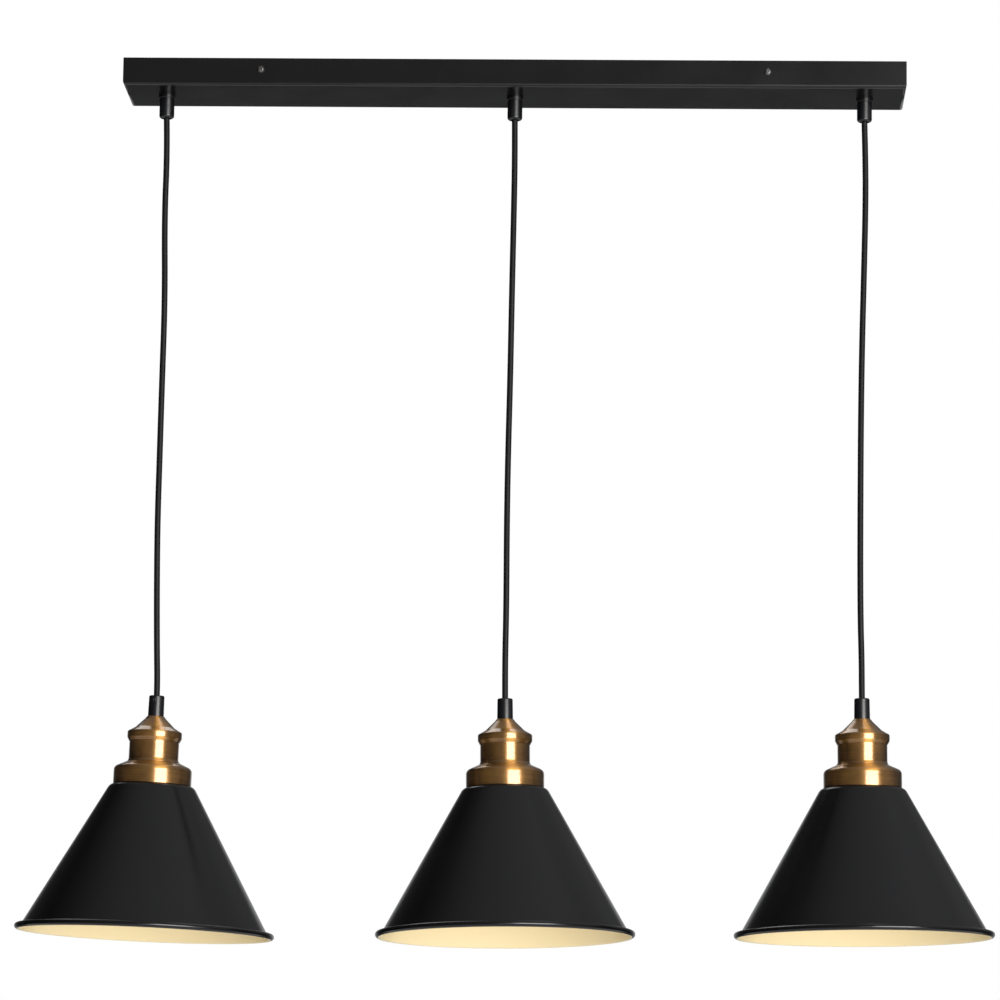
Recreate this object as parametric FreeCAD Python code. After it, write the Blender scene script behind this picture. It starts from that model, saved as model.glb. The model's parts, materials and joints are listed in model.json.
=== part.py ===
"""A ceiling light: a folded steel bar against the ceiling, and three metal shades on cables.

Millimetres, +Z up. The origin is on the ceiling, at the middle of the bracket that holds the bar.
X runs along the bar, and -Y is the side that faces the room.
"""
import FreeCAD, Part
import math
import os

V = FreeCAD.Vector
UP = V(0, 0, 1)

# The bar, a tray of folded sheet with its open side against the ceiling
BAR_LENGTH = 680.0
BAR_DEPTH = 80.0
BAR_HEIGHT = 24.0
BAR_SHEET = 1.0
BAR_BEND = 3.0
LAMP_INSET = 35.0

# The bracket on the ceiling: a strap with two arms, whose ears hang down inside the bar
STRAP_LENGTH = 490.0
STRAP_WIDTH = 30.0
STRAP_CORNER = 4.0
BRACKET_SHEET = 1.5
BRACKET_BEND = 2.2
ARM_WIDTH = 24.0
ARM_SPACING = 440.0
EAR_DROP = 16.0
EAR_GAP = 0.3
SLOT_SPACING = 300.0
SLOT_LENGTH = 25.0
SLOT_WIDTH = 5.5
FEED_HOLE_D = 24.0

# The four screws through the sides of the bar into the ears
FIXING_D = 4.0
FIXING_DROP = 10.0
FIXING_LENGTH = 8.0
FIXING_HEAD_D = 6.4
FIXING_HEAD_HEIGHT = 2.0
FIXING_HOLE_PLAY = 0.3
SCREW_SLOT = 0.8
SCREW_SLOT_DEPTH = 0.9

# The cable and how far it swings each way at the bar
CABLE_D = 5.2
SWING_DEG = 25.0
HINGE_RISE = 0.5
BALL_GAP = 0.3
SWING_PLAY = 0.2

# The glands under the bar and the grips on the holders: moulded bushings on a thin-walled thread
THREAD_D = 10.0
THREAD_PLAY = 0.1
BORE_PLAY = 0.1
GLAND_D = 13.0
GLAND_LENGTH = 20.6
GLAND_COLLAR_D = 14.4
GLAND_COLLAR_HEIGHT = 2.6
GLAND_ROUND = 2.4
GLAND_THREAD_RISE = 7.0
GLAND_SCREW_DROP = 9.0
NUT_FLATS = 14.0
NUT_HEIGHT = 3.2
GRIP_TOP_D = 13.1
GRIP_FOOT_D = 13.6
GRIP_LENGTH = 17.9
GRIP_ROUND = 1.1
GRIP_THREAD_DROP = 9.0
GRIP_HOLD = 12.0
GRIP_SCREW_DROP = 3.8
SET_SCREW_D = 3.0
SET_SCREW_PROUD = 0.15

# The leads inside the bar, and what they run to
LEAD_D = 3.0
LEAD_TURN = 9.0
LEAD_HEIGHT = 17.5
LEAD_SIDE = 9.0
LEAD_EASE = 24.0
SHEATH_RISE = 8.0
BLOCK_X = 66.0
BLOCK_LENGTH = 18.0
BLOCK_HEIGHT = 14.0
POLE_PITCH = 9.0
POLE_COUNT = 3
POLE_BORE_D = 3.4
POLE_BORE_HEIGHT = 6.0
POLE_NOTCH = 1.4
BLOCK_SCREW_D = 3.6
BLOCK_SCREW_LENGTH = 4.5
BLOCK_SCREW_INSET = 4.2
EARTH_X = 122.0
EARTH_D = 4.0
EARTH_STUD = 12.0
EARTH_FOOT_D = 8.0
EARTH_FOOT = 1.2
EARTH_NUT_FLATS = 7.0
EARTH_NUT_HEIGHT = 3.0

# The shade, spun from sheet with a curled edge
SHADE_HEIGHT = 125.4
SHADE_TOP_R = 35.7
SHADE_FOOT_R = 106.1
SHADE_SHEET = 0.8
SHADE_SHOULDER = 7.0
CURL_R = 2.6
CURL_OPEN_DEG = 58.0

# The brass holder: collar on the shade, sleeve, and cap
HOLDER_HOLE_R = 19.8
COLLAR_R = 33.5
COLLAR_HEIGHT = 19.3
COLLAR_LAND_R = 23.2
COLLAR_SLOPE = 4.8
COLLAR_ROUND = 4.5
SLEEVE_R = 21.3
SLEEVE_SHOWN = 18.0
SLEEVE_HIDDEN = 6.0
SLEEVE_FOOT_R = 22.7
SLEEVE_FOOT_HEIGHT = 2.4
CAP_HEIGHT = 21.8
CAP_R = 23.4
CAP_TOP_R = 7.4
CAP_NECK_R = 9.0
CAP_NECK_DROP = 2.1
CAP_KNEE_R = 16.9
CAP_KNEE_DROP = 9.8
CAP_SHOULDER_DROP = 13.6
CAP_BAND_FOOT = 3.0
CAP_ROUND = 1.6
BRASS_SHEET = 0.8
LIP_GAP = 0.1

# Inside the holder
INSERT_PLAY = 0.3
INSERT_TOP_GAP = 2.0
INSERT_DROP = 22.3
INSERT_BORE_R = 13.9
INSERT_BORE_DEPTH = 35.0
CONTACT_WELL_R = 8.0
CONTACT_WELL_DEPTH = 10.0
CABLE_WAY_R = 3.2
RING_R = 27.0
RING_FLANGE = 2.6
RING_BODY_R = 23.6
RING_HEIGHT = 8.5
SHELL_SHEET = 0.4
SHELL_PLAY = 0.05
SHELL_RECESS = 5.0
SHELL_LIP = 4.0
CONTACT_WIDTH = 6.0
CONTACT_SHEET = 0.5
CONTACT_GAP = 0.3

# The bulb
BULB_CAP_R = 13.1
BULB_CAP_LENGTH = 24.0
BULB_CAP_WALL = 0.5
BULB_CAP_CONE = 3.0
BULB_TIP_R = 4.6
BULB_TIP_HEIGHT = 1.5
BULB_R = 30.0
BULB_LENGTH = 105.5
BULB_NECK_R = 12.5
BULB_THROAT_R = 13.2
BULB_THROAT = 6.0
BULB_WALL = 1.0

# Each cable's route from its hinge: sideways, towards the back, down. The last point is in the
# grip, and the lamp hangs in line with the last run.
ROUTES = {
    "left": [
        (0.0, 0.0, 0.0),
        (1.2, -0.3, 31.0),
        (0.3, -1.0, 88.0),
        (2.6, -2.1, 163.0),
        (1.9, -3.0, 238.0),
        (1.5, -3.7, 305.0),
        (1.1, -4.2, 362.0),
        (2.1, -4.5, 423.0),
        (3.3, -4.2, 470.0),
        (4.46, -3.43, 503.5),
        (3.86, -2.97, 522.5),
    ],
    "middle": [
        (0.0, 0.0, 0.0),
        (0.5, -0.3, 33.0),
        (0.3, -0.8, 80.0),
        (-0.5, -0.4, 155.0),
        (-1.0, 0.5, 228.0),
        (-2.1, 1.0, 300.0),
        (-2.3, 0.6, 362.0),
        (-1.8, -0.2, 430.0),
        (-2.2, -0.4, 474.0),
        (-1.91, 0.0, 503.9),
        (-1.67, 0.0, 521.9),
    ],
    "right": [
        (0.0, 0.0, 0.0),
        (0.8, 0.2, 28.0),
        (1.2, 0.1, 70.0),
        (-0.3, -0.8, 138.0),
        (-1.9, -1.9, 200.0),
        (-2.8, -2.8, 268.0),
        (-3.1, -3.5, 340.0),
        (-3.2, -3.9, 400.0),
        (-2.8, -3.7, 443.0),
        (-1.9, -3.2, 472.0),
        (-1.66, -2.66, 500.6),
        (-1.44, -2.31, 519.3),
    ],
}
# The way that each grip's set screw faces, counted from the front
GRIP_SCREW_DEG = {"left": -12.0, "middle": 165.0, "right": 150.0}

# Levels, from the ceiling for the bar and from the rim of the shade for a lamp
cable_r = CABLE_D / 2
thread_r = THREAD_D / 2
bore_r = cable_r + BORE_PLAY
underside = -BAR_HEIGHT
floor = underside + BAR_SHEET
mouth = underside - GLAND_LENGTH
hinge = mouth + HINGE_RISE
lamp_spacing = BAR_LENGTH / 2 - LAMP_INSET
lamp_x = {"left": -lamp_spacing, "middle": 0.0, "right": lamp_spacing}
shade_top = SHADE_HEIGHT
shade_under = shade_top - SHADE_SHEET
collar_top = shade_top + COLLAR_HEIGHT
cap_foot = collar_top + SLEEVE_SHOWN
cap_top = cap_foot + CAP_HEIGHT
grip_top = cap_top + GRIP_LENGTH
sleeve_top = cap_foot + SLEEVE_HIDDEN
insert_top = sleeve_top - INSERT_TOP_GAP
insert_foot = shade_top - INSERT_DROP
well_foot = insert_foot + INSERT_BORE_DEPTH
tip_top = well_foot - BULB_TIP_HEIGHT


def outline(corners):
    """A closed face in the XZ plane. A corner is (x, z), or (x, z, radius) where it is rounded."""
    places = [V(c[0], 0, c[1]) for c in corners]
    edges, starts, ends = [], [], []
    for i, corner in enumerate(corners):
        here, before, after = places[i], places[i - 1], places[(i + 1) % len(places)]
        radius = corner[2] if len(corner) > 2 else 0.0
        if radius <= 0:
            starts.append(here)
            ends.append(here)
            edges.append(None)
            continue
        back, on = (before - here).normalize(), (after - here).normalize()
        half = back.getAngle(on) / 2
        reach = radius / math.tan(half)
        first, last = here + back * reach, here + on * reach
        inward = (back + on).normalize()
        middle = here + inward * (radius / math.sin(half) - radius)
        starts.append(first)
        ends.append(last)
        edges.append(Part.Arc(first, middle, last).toShape())
    chain = []
    for i in range(len(corners)):
        if edges[i]:
            chain.append(edges[i])
        gap = ends[i].distanceToPoint(starts[(i + 1) % len(corners)])
        if gap > 1e-6:
            chain.append(Part.LineSegment(ends[i], starts[(i + 1) % len(corners)]).toShape())
    return Part.Face(Part.Wire(chain))


def turned(corners):
    """A solid turned about Z from its outline, given as (radius, height) corners."""
    return outline(corners).revolve(V(0, 0, 0), UP, 360)


def block(length, depth, low, high, x=0.0, y=0.0):
    """A box centred on x and y, from one height to another."""
    return Part.makeBox(length, depth, high - low, V(x - length / 2, y - depth / 2, low))


def rod(radius, start, end):
    """A cylinder between two points."""
    return Part.makeCylinder(radius, start.distanceToPoint(end), start, end - start)


def slot(length, width, low, high, x, y=0.0):
    """A round-ended bar along X, to cut a slot with."""
    reach = length / 2 - width / 2
    shape = block(2 * reach, width, low, high, x, y)
    for side in (-1, 1):
        centre = x + side * reach
        shape = shape.fuse(rod(width / 2, V(centre, y, low), V(centre, y, high)))
    return shape.removeSplitter()


def placed(shape, position, rotation=None):
    """A copy of a shape, turned about the origin and then moved."""
    copy = shape.copy()
    copy.Placement = FreeCAD.Placement(position, rotation or FreeCAD.Rotation())
    return copy


def smooth_path(points, radii=None):
    """Straight runs joined by tangent arcs, and the radius of each arc.

    An arc is as large as its two runs allow, unless its radius is given.
    """
    edges, used, at = [], [], points[0]
    for i in range(1, len(points) - 1):
        here = points[i]
        back, on = points[i - 1] - here, points[i + 1] - here
        shorter = min(back.Length, on.Length)
        back.normalize()
        on.normalize()
        half_turn = (math.pi - back.getAngle(on)) / 2
        radius = radii[i - 1] if radii else 0.45 * shorter / math.tan(half_turn)
        reach = radius * math.tan(half_turn)
        first, last = here + back * reach, here + on * reach
        inward = (back + on).normalize()
        middle = here + inward * (radius / math.cos(half_turn) - radius)
        if at.distanceToPoint(first) > 1e-6:
            edges.append(Part.LineSegment(at, first).toShape())
        edges.append(Part.Arc(first, middle, last).toShape())
        used.append(radius)
        at = last
    edges.append(Part.LineSegment(at, points[-1]).toShape())
    return Part.Wire(edges), used


def tube(name, points, diameter, radii=None):
    """A round tube along a route. It prints its arcs' radii and how its volume compares."""
    path, used = smooth_path(points, radii)
    ring = Part.Circle(points[0], points[1] - points[0], diameter / 2).toShape()
    solid = path.makePipeShell([Part.Wire([ring])], True, False)
    expected = math.pi * diameter**2 / 4 * path.Length
    print(
        f"{name}: length {path.Length:.1f}, least radius {min(used):.0f}, "
        f"radii {[round(r) for r in used]}, volume ratio {solid.Volume / expected:.5f}"
    )
    return solid


def hex_nut(flats, height, hole_d, centre):
    """A hexagon nut with turned-down corners, standing on a point of its axis."""
    across = flats / math.sqrt(3)
    turns = [math.radians(60 * i) for i in range(7)]
    rim = Part.makePolygon([V(across * math.cos(a), across * math.sin(a), 0) for a in turns])
    prism = Part.Face(rim).extrude(UP * height)
    edge = (across - flats / 2) * 0.6
    body = turned(
        [
            (hole_d / 2, 0),
            (across - edge, 0),
            (across, edge),
            (across, height - edge),
            (across - edge, height),
            (hole_d / 2, height),
        ]
    )
    return placed(prism.common(body), centre)


def set_screw(outer_r, level, angle_deg):
    """A slotted screw pointing at the axis, with its outer end a little proud of a bushing."""
    inner, outer = cable_r + BORE_PLAY, outer_r + SET_SCREW_PROUD
    body = rod(SET_SCREW_D / 2, V(0, -inner, 0), V(0, -outer, 0))
    body = body.cut(
        Part.makeBox(
            SCREW_SLOT,
            SCREW_SLOT_DEPTH,
            SET_SCREW_D,
            V(-SCREW_SLOT / 2, -outer, -SET_SCREW_D / 2),
        )
    )
    return placed(body, V(0, 0, level), FreeCAD.Rotation(UP, angle_deg))


def screw_way(outer_r, level, angle_deg):
    """The hole that a set screw goes through."""
    radius = SET_SCREW_D / 2 + THREAD_PLAY
    way = rod(radius, V(0, 0, 0), V(0, -outer_r - SET_SCREW_D, 0))
    return placed(way, V(0, 0, level), FreeCAD.Rotation(UP, angle_deg))


def fixing_places():
    """Where each side screw meets the outside of the bar, and the way that it points out."""
    for x in (-ARM_SPACING / 2, ARM_SPACING / 2):
        for side in (-1, 1):
            yield V(x, side * BAR_DEPTH / 2, -FIXING_DROP), V(0, side, 0)


def housing():
    """The bar: a folded tray with holes for the glands and for the side screws."""
    outer = block(BAR_LENGTH, BAR_DEPTH, underside, 0)
    folds = [e for e in outer.Edges if max(v.Z for v in e.Vertexes) < -1e-6]
    outer = outer.makeFillet(BAR_BEND, folds)
    inner = block(BAR_LENGTH - 2 * BAR_SHEET, BAR_DEPTH - 2 * BAR_SHEET, floor, BAR_HEIGHT)
    folds = [e for e in inner.Edges if max(v.Z for v in e.Vertexes) < 0]
    inner = inner.makeFillet(max(BAR_BEND - BAR_SHEET, BAR_SHEET / 4), folds)
    tray = outer.cut(inner)
    for x in lamp_x.values():
        tray = tray.cut(rod(thread_r + THREAD_PLAY, V(x, 0, underside - 1), V(x, 0, floor + 1)))
    hole_r = (FIXING_D + FIXING_HOLE_PLAY) / 2
    for place, out in fixing_places():
        tray = tray.cut(rod(hole_r, place - out * 2 * BAR_SHEET, place + out * BAR_SHEET))
    return tray


def bracket():
    """The strap on the ceiling, with its slots, its feed hole and its two arms."""
    strap = block(STRAP_LENGTH, STRAP_WIDTH, -BRACKET_SHEET, 0)
    corners = [e for e in strap.Edges if abs(e.Vertexes[0].Z - e.Vertexes[-1].Z) > 1e-6]
    plate = strap.makeFillet(STRAP_CORNER, corners)
    half = BAR_DEPTH / 2 - BAR_SHEET - EAR_GAP
    inner_bend = max(BRACKET_BEND - BRACKET_SHEET, BRACKET_SHEET / 4)
    arm = outline(
        [
            (-half, -EAR_DROP),
            (-half, 0, BRACKET_BEND),
            (half, 0, BRACKET_BEND),
            (half, -EAR_DROP),
            (half - BRACKET_SHEET, -EAR_DROP),
            (half - BRACKET_SHEET, -BRACKET_SHEET, inner_bend),
            (-half + BRACKET_SHEET, -BRACKET_SHEET, inner_bend),
            (-half + BRACKET_SHEET, -EAR_DROP),
        ]
    ).extrude(V(0, ARM_WIDTH, 0))
    for side in (-1, 1):
        place = V(side * ARM_SPACING / 2 + ARM_WIDTH / 2, 0, 0)
        plate = plate.fuse(placed(arm, place, FreeCAD.Rotation(UP, 90)))
    plate = plate.removeSplitter()
    for side in (-1, 1):
        x = side * SLOT_SPACING / 2
        plate = plate.cut(slot(SLOT_LENGTH, SLOT_WIDTH, -2 * BRACKET_SHEET, BRACKET_SHEET, x))
    plate = plate.cut(rod(FEED_HOLE_D / 2, V(0, 0, -2 * BRACKET_SHEET), V(0, 0, BRACKET_SHEET)))
    hole_r = FIXING_D / 2 + THREAD_PLAY
    for place, out in fixing_places():
        start = place - out * (BAR_SHEET + EAR_GAP + 2 * BRACKET_SHEET)
        plate = plate.cut(rod(hole_r, start, place))
    return plate


def fixing_screws():
    """Four slotted screws whose heads seat on the sides of the bar."""
    head = turned(
        [
            (0, 0),
            (FIXING_HEAD_D / 2, 0),
            (FIXING_HEAD_D / 2, FIXING_HEAD_HEIGHT, FIXING_HEAD_HEIGHT * 0.6),
            (0, FIXING_HEAD_HEIGHT),
        ]
    )
    head = head.fuse(rod(FIXING_D / 2, V(0, 0, 0), V(0, 0, -FIXING_LENGTH)))
    notch = SCREW_SLOT_DEPTH
    low = FIXING_HEAD_HEIGHT - notch
    screw = head.cut(block(SCREW_SLOT, 2 * FIXING_HEAD_D, low, low + 2 * notch))
    made = []
    for place, out in fixing_places():
        turn = FreeCAD.Rotation(UP, out).multiply(FreeCAD.Rotation(UP, 35 * out.y))
        made.append(placed(screw, place, turn))
    return Part.makeCompound(made)


def gland():
    """A cable gland about its own axis, with the bar's underside at height 0.

    The mouth is flared so that the cable clears it at both ends of its two swings together.
    """
    tilt = math.acos(math.cos(math.radians(SWING_DEG)) ** 2)
    at_hinge = cable_r / math.cos(tilt) + SWING_PLAY
    at_mouth = at_hinge + HINGE_RISE * math.tan(tilt)
    rise = HINGE_RISE + cable_r
    body = turned(
        [
            (bore_r, GLAND_THREAD_RISE),
            (thread_r - 0.6, GLAND_THREAD_RISE),
            (thread_r, GLAND_THREAD_RISE - 0.6),
            (thread_r, 0),
            (GLAND_COLLAR_D / 2, 0),
            (GLAND_COLLAR_D / 2, -GLAND_COLLAR_HEIGHT, 0.5),
            (GLAND_D / 2, -GLAND_COLLAR_HEIGHT),
            (GLAND_D / 2, -GLAND_LENGTH, GLAND_ROUND),
            (at_mouth, -GLAND_LENGTH),
            (at_hinge, HINGE_RISE - GLAND_LENGTH),
            (at_hinge, rise - GLAND_LENGTH),
            (bore_r, rise - GLAND_LENGTH + (at_hinge - bore_r)),
        ]
    )
    return body.cut(screw_way(GLAND_D / 2, -GLAND_SCREW_DROP, 180.0))


def hung_points(side):
    """A route's points in the light's own frame."""
    return [V(lamp_x[side] + x, y, hinge - down) for x, y, down in ROUTES[side]]


def free_cable(side):
    """The cable from its hinge down into the grip. Its top is hollowed to clear the hinge ball."""
    points = hung_points(side)
    solid = tube(f"{side}_cable", points, CABLE_D)
    return solid.cut(Part.makeSphere(cable_r + BALL_GAP, points[0]))


def lead(side):
    """The sheathed cable held in the gland, and its two cores as one lead along the bar."""
    x = lamp_x[side]
    sheath_top = underside + SHEATH_RISE
    sheath = rod(cable_r, V(x, 0, hinge), V(x, 0, sheath_top))
    sheath = sheath.cut(Part.makeSphere(cable_r + BALL_GAP, V(x, 0, hinge)))
    along = underside + LEAD_HEIGHT
    bore = floor + POLE_BORE_HEIGHT
    face = BLOCK_X - BLOCK_LENGTH / 2
    inward = 1
    pole = {"left": -POLE_PITCH, "middle": 0.0, "right": POLE_PITCH}[side]
    if side == "right":
        face, inward = BLOCK_X + BLOCK_LENGTH / 2, -1
    end = face + inward * POLE_BORE_HEIGHT / 2
    points = [V(x, 0, sheath_top), V(x, 0, along)]
    radii = [LEAD_TURN]
    if side == "left":
        points += [
            V(x + 2 * LEAD_EASE, 0, along),
            V(x + 4 * LEAD_EASE, -LEAD_SIDE, along),
        ]
        radii += [4 * LEAD_EASE, 4 * LEAD_EASE]
    points += [
        V(face - inward * 1.6 * LEAD_EASE, pole, along),
        V(face - inward * 0.6 * LEAD_EASE, pole, bore),
        V(end, pole, bore),
    ]
    radii += [LEAD_EASE, LEAD_EASE]
    core = tube(f"{side}_lead", points, LEAD_D, radii)
    return sheath.fuse(core)


def pole_places():
    """The middle of each pole of the terminal block."""
    first = -(POLE_COUNT - 1) / 2
    return [(BLOCK_X, (first + i) * POLE_PITCH) for i in range(POLE_COUNT)]


def block_screw_places():
    """The two screws of each pole."""
    reach = BLOCK_LENGTH / 2 - BLOCK_SCREW_INSET
    return [(x + side * reach, y) for x, y in pole_places() for side in (-1, 1)]


def terminal_block():
    """A three-pole block on the floor of the bar: bores for the wires, wells for the screws."""
    top = floor + BLOCK_HEIGHT
    body = block(BLOCK_LENGTH, POLE_COUNT * POLE_PITCH, floor, top, BLOCK_X)
    edges = [e for e in body.Edges if min(v.Z for v in e.Vertexes) > top - 1e-6]
    body = body.makeFillet(1.0, edges)
    wire_level = floor + POLE_BORE_HEIGHT
    for x, y in pole_places():
        start, end = V(x - BLOCK_LENGTH, y, wire_level), V(x + BLOCK_LENGTH, y, wire_level)
        body = body.cut(rod(POLE_BORE_D / 2, start, end))
    for x, y in block_screw_places():
        well = rod(BLOCK_SCREW_D / 2 + THREAD_PLAY, V(x, y, wire_level), V(x, y, top + 1))
        body = body.cut(well)
    for x, y in pole_places()[1:]:
        low = wire_level + POLE_BORE_D / 2 + POLE_NOTCH
        body = body.cut(block(2 * BLOCK_LENGTH, POLE_NOTCH, low, top + 1, x, y - POLE_PITCH / 2))
    return body


def terminal_screws():
    """The block's six wire screws, each just above its wire."""
    low = floor + POLE_BORE_HEIGHT + POLE_BORE_D / 2
    high = low + BLOCK_SCREW_LENGTH
    made = []
    for x, y in block_screw_places():
        screw = rod(BLOCK_SCREW_D / 2, V(x, y, low), V(x, y, high))
        notch = block(SCREW_SLOT, 2 * BLOCK_SCREW_D, high - SCREW_SLOT_DEPTH, high + 1, x, y)
        made.append(screw.cut(notch))
    return Part.makeCompound(made)


def earth_stud():
    """The welded stud on the floor of the bar for the earth wires."""
    stud = turned(
        [
            (0, floor),
            (EARTH_FOOT_D / 2, floor),
            (EARTH_FOOT_D / 2, floor + EARTH_FOOT, EARTH_FOOT / 3),
            (EARTH_D / 2, floor + EARTH_FOOT),
            (EARTH_D / 2, floor + EARTH_STUD, EARTH_D / 8),
            (0, floor + EARTH_STUD),
        ]
    )
    return placed(stud, V(EARTH_X, 0, 0))


def grip(side):
    """The cord grip on a lamp: a moulded bushing whose thread goes down into the cap."""
    body = turned(
        [
            (bore_r, cap_top - GRIP_THREAD_DROP),
            (thread_r - 0.6, cap_top - GRIP_THREAD_DROP),
            (thread_r, cap_top - GRIP_THREAD_DROP + 0.6),
            (thread_r, cap_top),
            (GRIP_FOOT_D / 2, cap_top),
            (GRIP_TOP_D / 2, grip_top, GRIP_ROUND),
            (bore_r + 0.5, grip_top),
            (bore_r, grip_top - 0.5),
        ]
    )
    return body.cut(screw_way(GRIP_FOOT_D / 2, grip_top - GRIP_SCREW_DROP, GRIP_SCREW_DEG[side]))


def cap():
    """The brass cap: a short neck, a cone in two slopes, and a band that laps the sleeve."""
    wall, lip = BRASS_SHEET, SLEEVE_R + LIP_GAP
    band_foot = cap_foot + CAP_BAND_FOOT
    shoulder = cap_top - CAP_SHOULDER_DROP
    return turned(
        [
            (thread_r + THREAD_PLAY, cap_top),
            (CAP_TOP_R, cap_top, 0.5),
            (CAP_NECK_R, cap_top - CAP_NECK_DROP, 1.5),
            (CAP_KNEE_R, cap_top - CAP_KNEE_DROP, 6.0),
            (CAP_R, shoulder, CAP_ROUND),
            (CAP_R, band_foot, CAP_ROUND),
            (lip + wall / 2, cap_foot),
            (lip, cap_foot),
            (CAP_R - wall, band_foot, CAP_ROUND - wall / 2),
            (CAP_R - wall, shoulder - wall / 2, CAP_ROUND - wall / 2),
            (CAP_KNEE_R - wall / 2, cap_top - CAP_KNEE_DROP - wall),
            (CAP_NECK_R - wall / 2, cap_top - CAP_NECK_DROP - 1.5 * wall),
            (thread_r + THREAD_PLAY, cap_top - CAP_NECK_DROP - 1.5 * wall),
        ]
    )


def sleeve():
    """The brass sleeve between the collar and the cap, with a small flared foot."""
    inner = SLEEVE_R - BRASS_SHEET
    return turned(
        [
            (inner, collar_top),
            (SLEEVE_FOOT_R, collar_top, 0.2),
            (SLEEVE_R, collar_top + SLEEVE_FOOT_HEIGHT, 3.0),
            (SLEEVE_R, sleeve_top),
            (inner, sleeve_top),
        ]
    )


def collar():
    """The wide brass cup that stands on the shade."""
    wall = BRASS_SHEET
    edge = collar_top - COLLAR_SLOPE
    return turned(
        [
            (HOLDER_HOLE_R, collar_top),
            (COLLAR_LAND_R, collar_top, 1.0),
            (COLLAR_R, edge, COLLAR_ROUND),
            (COLLAR_R, shade_top),
            (COLLAR_R - wall, shade_top),
            (COLLAR_R - wall, edge - wall / 2, COLLAR_ROUND - wall),
            (COLLAR_LAND_R, collar_top - wall, 1.0),
            (HOLDER_HOLE_R, collar_top - wall),
        ]
    )


def flank(level, inset=0.0):
    """The radius of the shade's straight flank at a height, drawn in along the radius."""
    return SHADE_FOOT_R + (SHADE_TOP_R - SHADE_FOOT_R) * level / SHADE_HEIGHT - inset


def shade():
    """The shade: a flat top with a hole, a rounded shoulder, a straight flank, a curled edge."""
    slope = math.atan2(SHADE_FOOT_R - SHADE_TOP_R, SHADE_HEIGHT)
    inset = SHADE_SHEET / math.cos(slope)
    centre = V(flank(0, inset) + CURL_R / math.cos(slope), 0, 0)
    first = math.pi + slope
    last = first + 2 * math.pi - math.radians(CURL_OPEN_DEG)

    def on_curl(radius, angle):
        return centre + V(radius * math.cos(angle), 0, radius * math.sin(angle))

    arcs, ends = [], []
    for radius in (CURL_R, CURL_R - SHADE_SHEET):
        stops = [on_curl(radius, angle) for angle in (first, (first + last) / 2, last)]
        arcs.append(Part.Arc(*stops).toShape())
        ends.append((stops[0], stops[2]))
    (outer_start, outer_end), (inner_start, inner_end) = ends
    closers = [
        Part.LineSegment(outer_end, inner_end).toShape(),
        Part.LineSegment(inner_start, outer_start).toShape(),
    ]
    curl = Part.Face(Part.Wire([arcs[0], closers[0], arcs[1], closers[1]]))
    skirt = turned(
        [
            (HOLDER_HOLE_R, shade_top),
            (SHADE_TOP_R, shade_top, SHADE_SHOULDER),
            (inner_start.x, inner_start.z),
            (outer_start.x, outer_start.z),
            (flank(shade_under, inset), shade_under, SHADE_SHOULDER - SHADE_SHEET),
            (HOLDER_HOLE_R, shade_under),
        ]
    )
    return skirt.fuse(curl.revolve(V(0, 0, 0), UP, 360)).removeSplitter()


def shade_ring():
    """The ring that screws up the insert and clamps the shade against the collar."""
    return turned(
        [
            (HOLDER_HOLE_R, shade_under),
            (RING_R, shade_under),
            (RING_R, shade_under - RING_FLANGE, 0.6),
            (RING_BODY_R, shade_under - RING_FLANGE),
            (RING_BODY_R, shade_under - RING_HEIGHT, 0.8),
            (HOLDER_HOLE_R, shade_under - RING_HEIGHT),
        ]
    )


def insert():
    """The lampholder's insulating body, hung by its shoulder on the collar."""
    head_r = SLEEVE_R - BRASS_SHEET - INSERT_PLAY
    return turned(
        [
            (CABLE_WAY_R, insert_top),
            (head_r, insert_top, 1.5),
            (head_r, collar_top),
            (HOLDER_HOLE_R - INSERT_PLAY, collar_top),
            (HOLDER_HOLE_R - INSERT_PLAY, insert_foot, 0.8),
            (INSERT_BORE_R, insert_foot, 0.8),
            (INSERT_BORE_R, well_foot),
            (CONTACT_WELL_R, well_foot),
            (CONTACT_WELL_R, well_foot + CONTACT_WELL_DEPTH),
            (CABLE_WAY_R, well_foot + CONTACT_WELL_DEPTH),
        ]
    )


def screw_shell():
    """The threaded metal shell that the bulb screws into, drawn without its thread."""
    outer = INSERT_BORE_R - SHELL_PLAY
    inner = outer - SHELL_SHEET
    return turned(
        [
            (inner, insert_foot + SHELL_RECESS),
            (outer, insert_foot + SHELL_RECESS),
            (outer, well_foot, SHELL_SHEET),
            (inner - SHELL_LIP, well_foot),
            (inner - SHELL_LIP, well_foot - SHELL_SHEET),
            (inner, well_foot - SHELL_SHEET),
        ]
    )


def contact():
    """The spring tongue that meets the tip of the bulb, bent up against the wall of its well."""
    wall_x = -math.sqrt(CONTACT_WELL_R**2 - CONTACT_WIDTH**2 / 4)
    level = tip_top + CONTACT_GAP + BULB_TIP_HEIGHT
    top = well_foot + CONTACT_WELL_DEPTH
    tongue = outline(
        [
            (wall_x, top),
            (wall_x, level, 1.5),
            (BULB_TIP_R / 2, level),
            (BULB_TIP_R / 2, level + CONTACT_SHEET),
            (wall_x + CONTACT_SHEET, level + CONTACT_SHEET, 1.0),
            (wall_x + CONTACT_SHEET, top),
        ]
    )
    tongue.translate(V(0, -CONTACT_WIDTH / 2, 0))
    return tongue.extrude(V(0, CONTACT_WIDTH, 0))


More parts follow.
